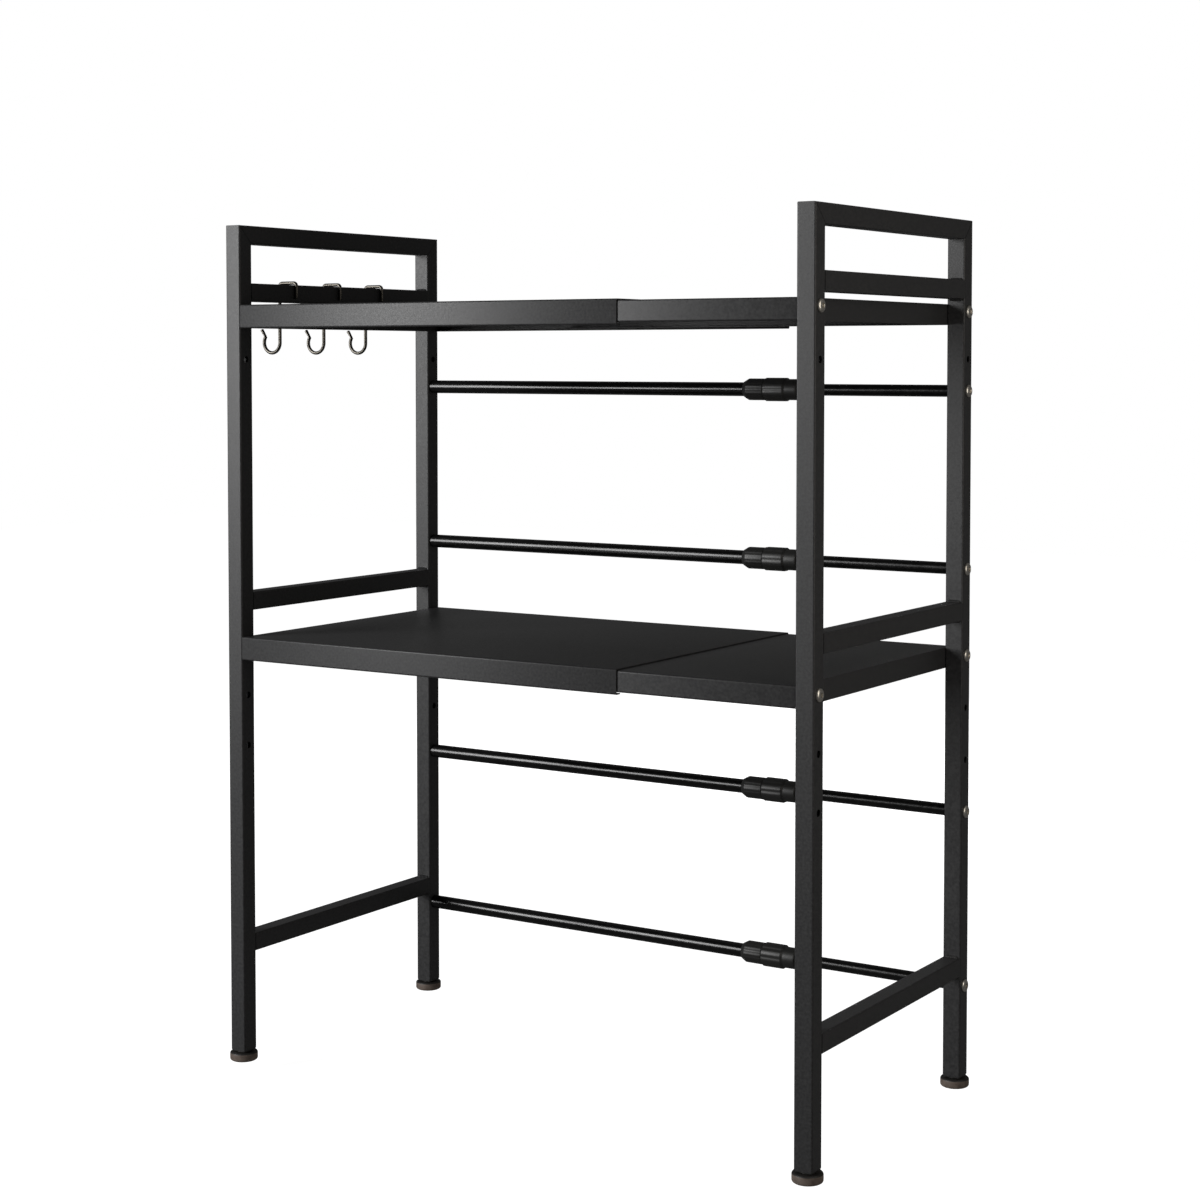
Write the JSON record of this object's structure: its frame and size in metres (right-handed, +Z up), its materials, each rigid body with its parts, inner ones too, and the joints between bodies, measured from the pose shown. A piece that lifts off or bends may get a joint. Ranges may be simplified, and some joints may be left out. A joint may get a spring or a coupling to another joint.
{
  "type": "expandable kitchen rack",
  "caption": "Expandable kitchen rack: square-tube side frames, nested sliding shelf trays, telescopic rear rods with twist locks, levelling feet and hanging hooks.",
  "frame": {"origin": "on the floor, in the middle of the outline of the whole rack, hooks and bolt heads included", "axes": "+X to the rack's right, front faces -Y, +Z up"},
  "size_m": [0.6857, 0.3334, 0.83],
  "materials": {
    "black_powder_coat": "fine-textured matt black powder coat",
    "plated_steel": "bright zinc or nickel plate",
    "hook_steel": "plated wire, satin",
    "black_plastic": "moulded, lightly grained",
    "foot_plastic": "moulded dark brown-grey, matt",
    "nylon": "natural nylon"
  },
  "bodies": {
    "left_half": {"left_front_post": "black_powder_coat", "left_rear_post": "black_powder_coat", "left_top_rail": "black_powder_coat", "left_upper_guard_rail": "black_powder_coat", "left_lower_guard_rail": "black_powder_coat", "left_bottom_rail": "black_powder_coat", "left_leg_plugs": "black_plastic", "left_shelf_bolts": "plated_steel", "left_rod_bolts": "plated_steel", "left_shelf_nuts": "plated_steel", "left_rod_inserts": "black_plastic", "upper_shelf_outer": "black_powder_coat", "lower_shelf_outer": "black_powder_coat", "rod_1_outer_tube": "black_powder_coat", "rod_2_outer_tube": "black_powder_coat", "rod_3_outer_tube": "black_powder_coat", "rod_4_outer_tube": "black_powder_coat", "rod_1_sleeve": "black_plastic", "rod_2_sleeve": "black_plastic", "rod_3_sleeve": "black_plastic", "rod_4_sleeve": "black_plastic", "lock_rings": "nylon"},
    "right_half": {"right_front_post": "black_powder_coat", "right_rear_post": "black_powder_coat", "right_top_rail": "black_powder_coat", "right_upper_guard_rail": "black_powder_coat", "right_lower_guard_rail": "black_powder_coat", "right_bottom_rail": "black_powder_coat", "right_leg_plugs": "black_plastic", "right_shelf_bolts": "plated_steel", "right_rod_bolts": "plated_steel", "right_shelf_nuts": "plated_steel", "right_rod_inserts": "black_plastic", "upper_shelf_inner": "black_powder_coat", "lower_shelf_inner": "black_powder_coat", "rod_1_inner_tube": "black_powder_coat", "rod_2_inner_tube": "black_powder_coat", "rod_3_inner_tube": "black_powder_coat", "rod_4_inner_tube": "black_powder_coat"},
    "twist_collar_1": {"twist_collar_1": "black_plastic"},
    "twist_collar_2": {"twist_collar_2": "black_plastic"},
    "twist_collar_3": {"twist_collar_3": "black_plastic"},
    "twist_collar_4": {"twist_collar_4": "black_plastic"},
    "left_front_foot": {"left_front_foot_pad": "foot_plastic", "left_front_foot_stud": "plated_steel"},
    "left_rear_foot": {"left_rear_foot_pad": "foot_plastic", "left_rear_foot_stud": "plated_steel"},
    "right_front_foot": {"right_front_foot_pad": "foot_plastic", "right_front_foot_stud": "plated_steel"},
    "right_rear_foot": {"right_rear_foot_pad": "foot_plastic", "right_rear_foot_stud": "plated_steel"},
    "hook_1": {"hook_1": "hook_steel"},
    "hook_2": {"hook_2": "hook_steel"},
    "hook_3": {"hook_3": "hook_steel"}
  },
  "joints": [
    {"name": "width_slide", "type": "slide", "parent": "left_half", "child": "right_half", "axis": [1, 0, 0], "range_m": [-0.155, 0.09]},
    {"name": "collar_1_twist", "type": "hinge", "parent": "left_half", "child": "twist_collar_1", "pos_m": [0.13506, 0.153, 0.0985], "axis": [1, 0, 0], "range_deg": [0, 90]},
    {"name": "collar_2_twist", "type": "hinge", "parent": "left_half", "child": "twist_collar_2", "pos_m": [0.13506, 0.153, 0.2665], "axis": [1, 0, 0], "range_deg": [0, 90]},
    {"name": "collar_3_twist", "type": "hinge", "parent": "left_half", "child": "twist_collar_3", "pos_m": [0.13506, 0.153, 0.499], "axis": [1, 0, 0], "range_deg": [0, 90]},
    {"name": "collar_4_twist", "type": "hinge", "parent": "left_half", "child": "twist_collar_4", "pos_m": [0.13506, 0.153, 0.6685], "axis": [1, 0, 0], "range_deg": [0, 90]},
    {"name": "left_front_foot_height", "type": "slide", "parent": "left_half", "child": "left_front_foot", "axis": [0, 0, 1], "range_m": [-0.01, 0]},
    {"name": "left_rear_foot_height", "type": "slide", "parent": "left_half", "child": "left_rear_foot", "axis": [0, 0, 1], "range_m": [-0.01, 0]},
    {"name": "right_front_foot_height", "type": "slide", "parent": "right_half", "child": "right_front_foot", "axis": [0, 0, 1], "range_m": [-0.01, 0]},
    {"name": "right_rear_foot_height", "type": "slide", "parent": "right_half", "child": "right_rear_foot", "axis": [0, 0, 1], "range_m": [-0.01, 0]},
    {"name": "hook_1_slide", "type": "slide", "parent": "left_half", "child": "hook_1", "axis": [0, 1, 0], "range_m": [-0.06, 0.032]},
    {"name": "hook_2_slide", "type": "slide", "parent": "left_half", "child": "hook_2", "axis": [0, 1, 0], "range_m": [-0.032, 0.032]},
    {"name": "hook_3_slide", "type": "slide", "parent": "left_half", "child": "hook_3", "axis": [0, 1, 0], "range_m": [-0.032, 0.08]}
  ]
}
